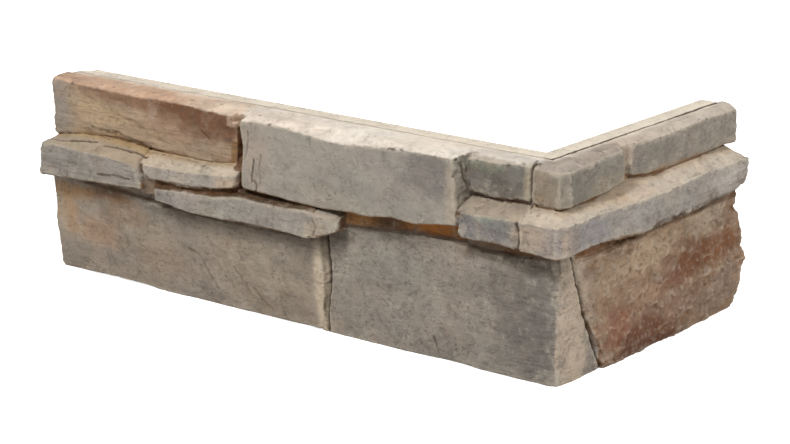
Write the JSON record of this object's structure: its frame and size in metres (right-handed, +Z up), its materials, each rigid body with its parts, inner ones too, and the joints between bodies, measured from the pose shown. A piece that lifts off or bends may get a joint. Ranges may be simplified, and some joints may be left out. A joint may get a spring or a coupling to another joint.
{
  "type": "stone cladding corner panel",
  "caption": "L-shaped cast stone panel that wraps the outside corner of a wall, with a flat back and a face of rough mock stones in staggered courses.",
  "frame": {"origin": "middle of the underside of the bounding box", "axes": "+Z up the wall; the long leg runs along X and faces -Y; the short leg runs along Y and faces +X; the wall fills the inside of the L, towards -X and +Y"},
  "size_m": [0.5068, 0.2762, 0.1605],
  "materials": {
    "cast_stone": "rough, matt, coloured in the casting"
  },
  "bodies": {
    "root": {"cladding_corner": "cast_stone"}
  },
  "joints": []
}
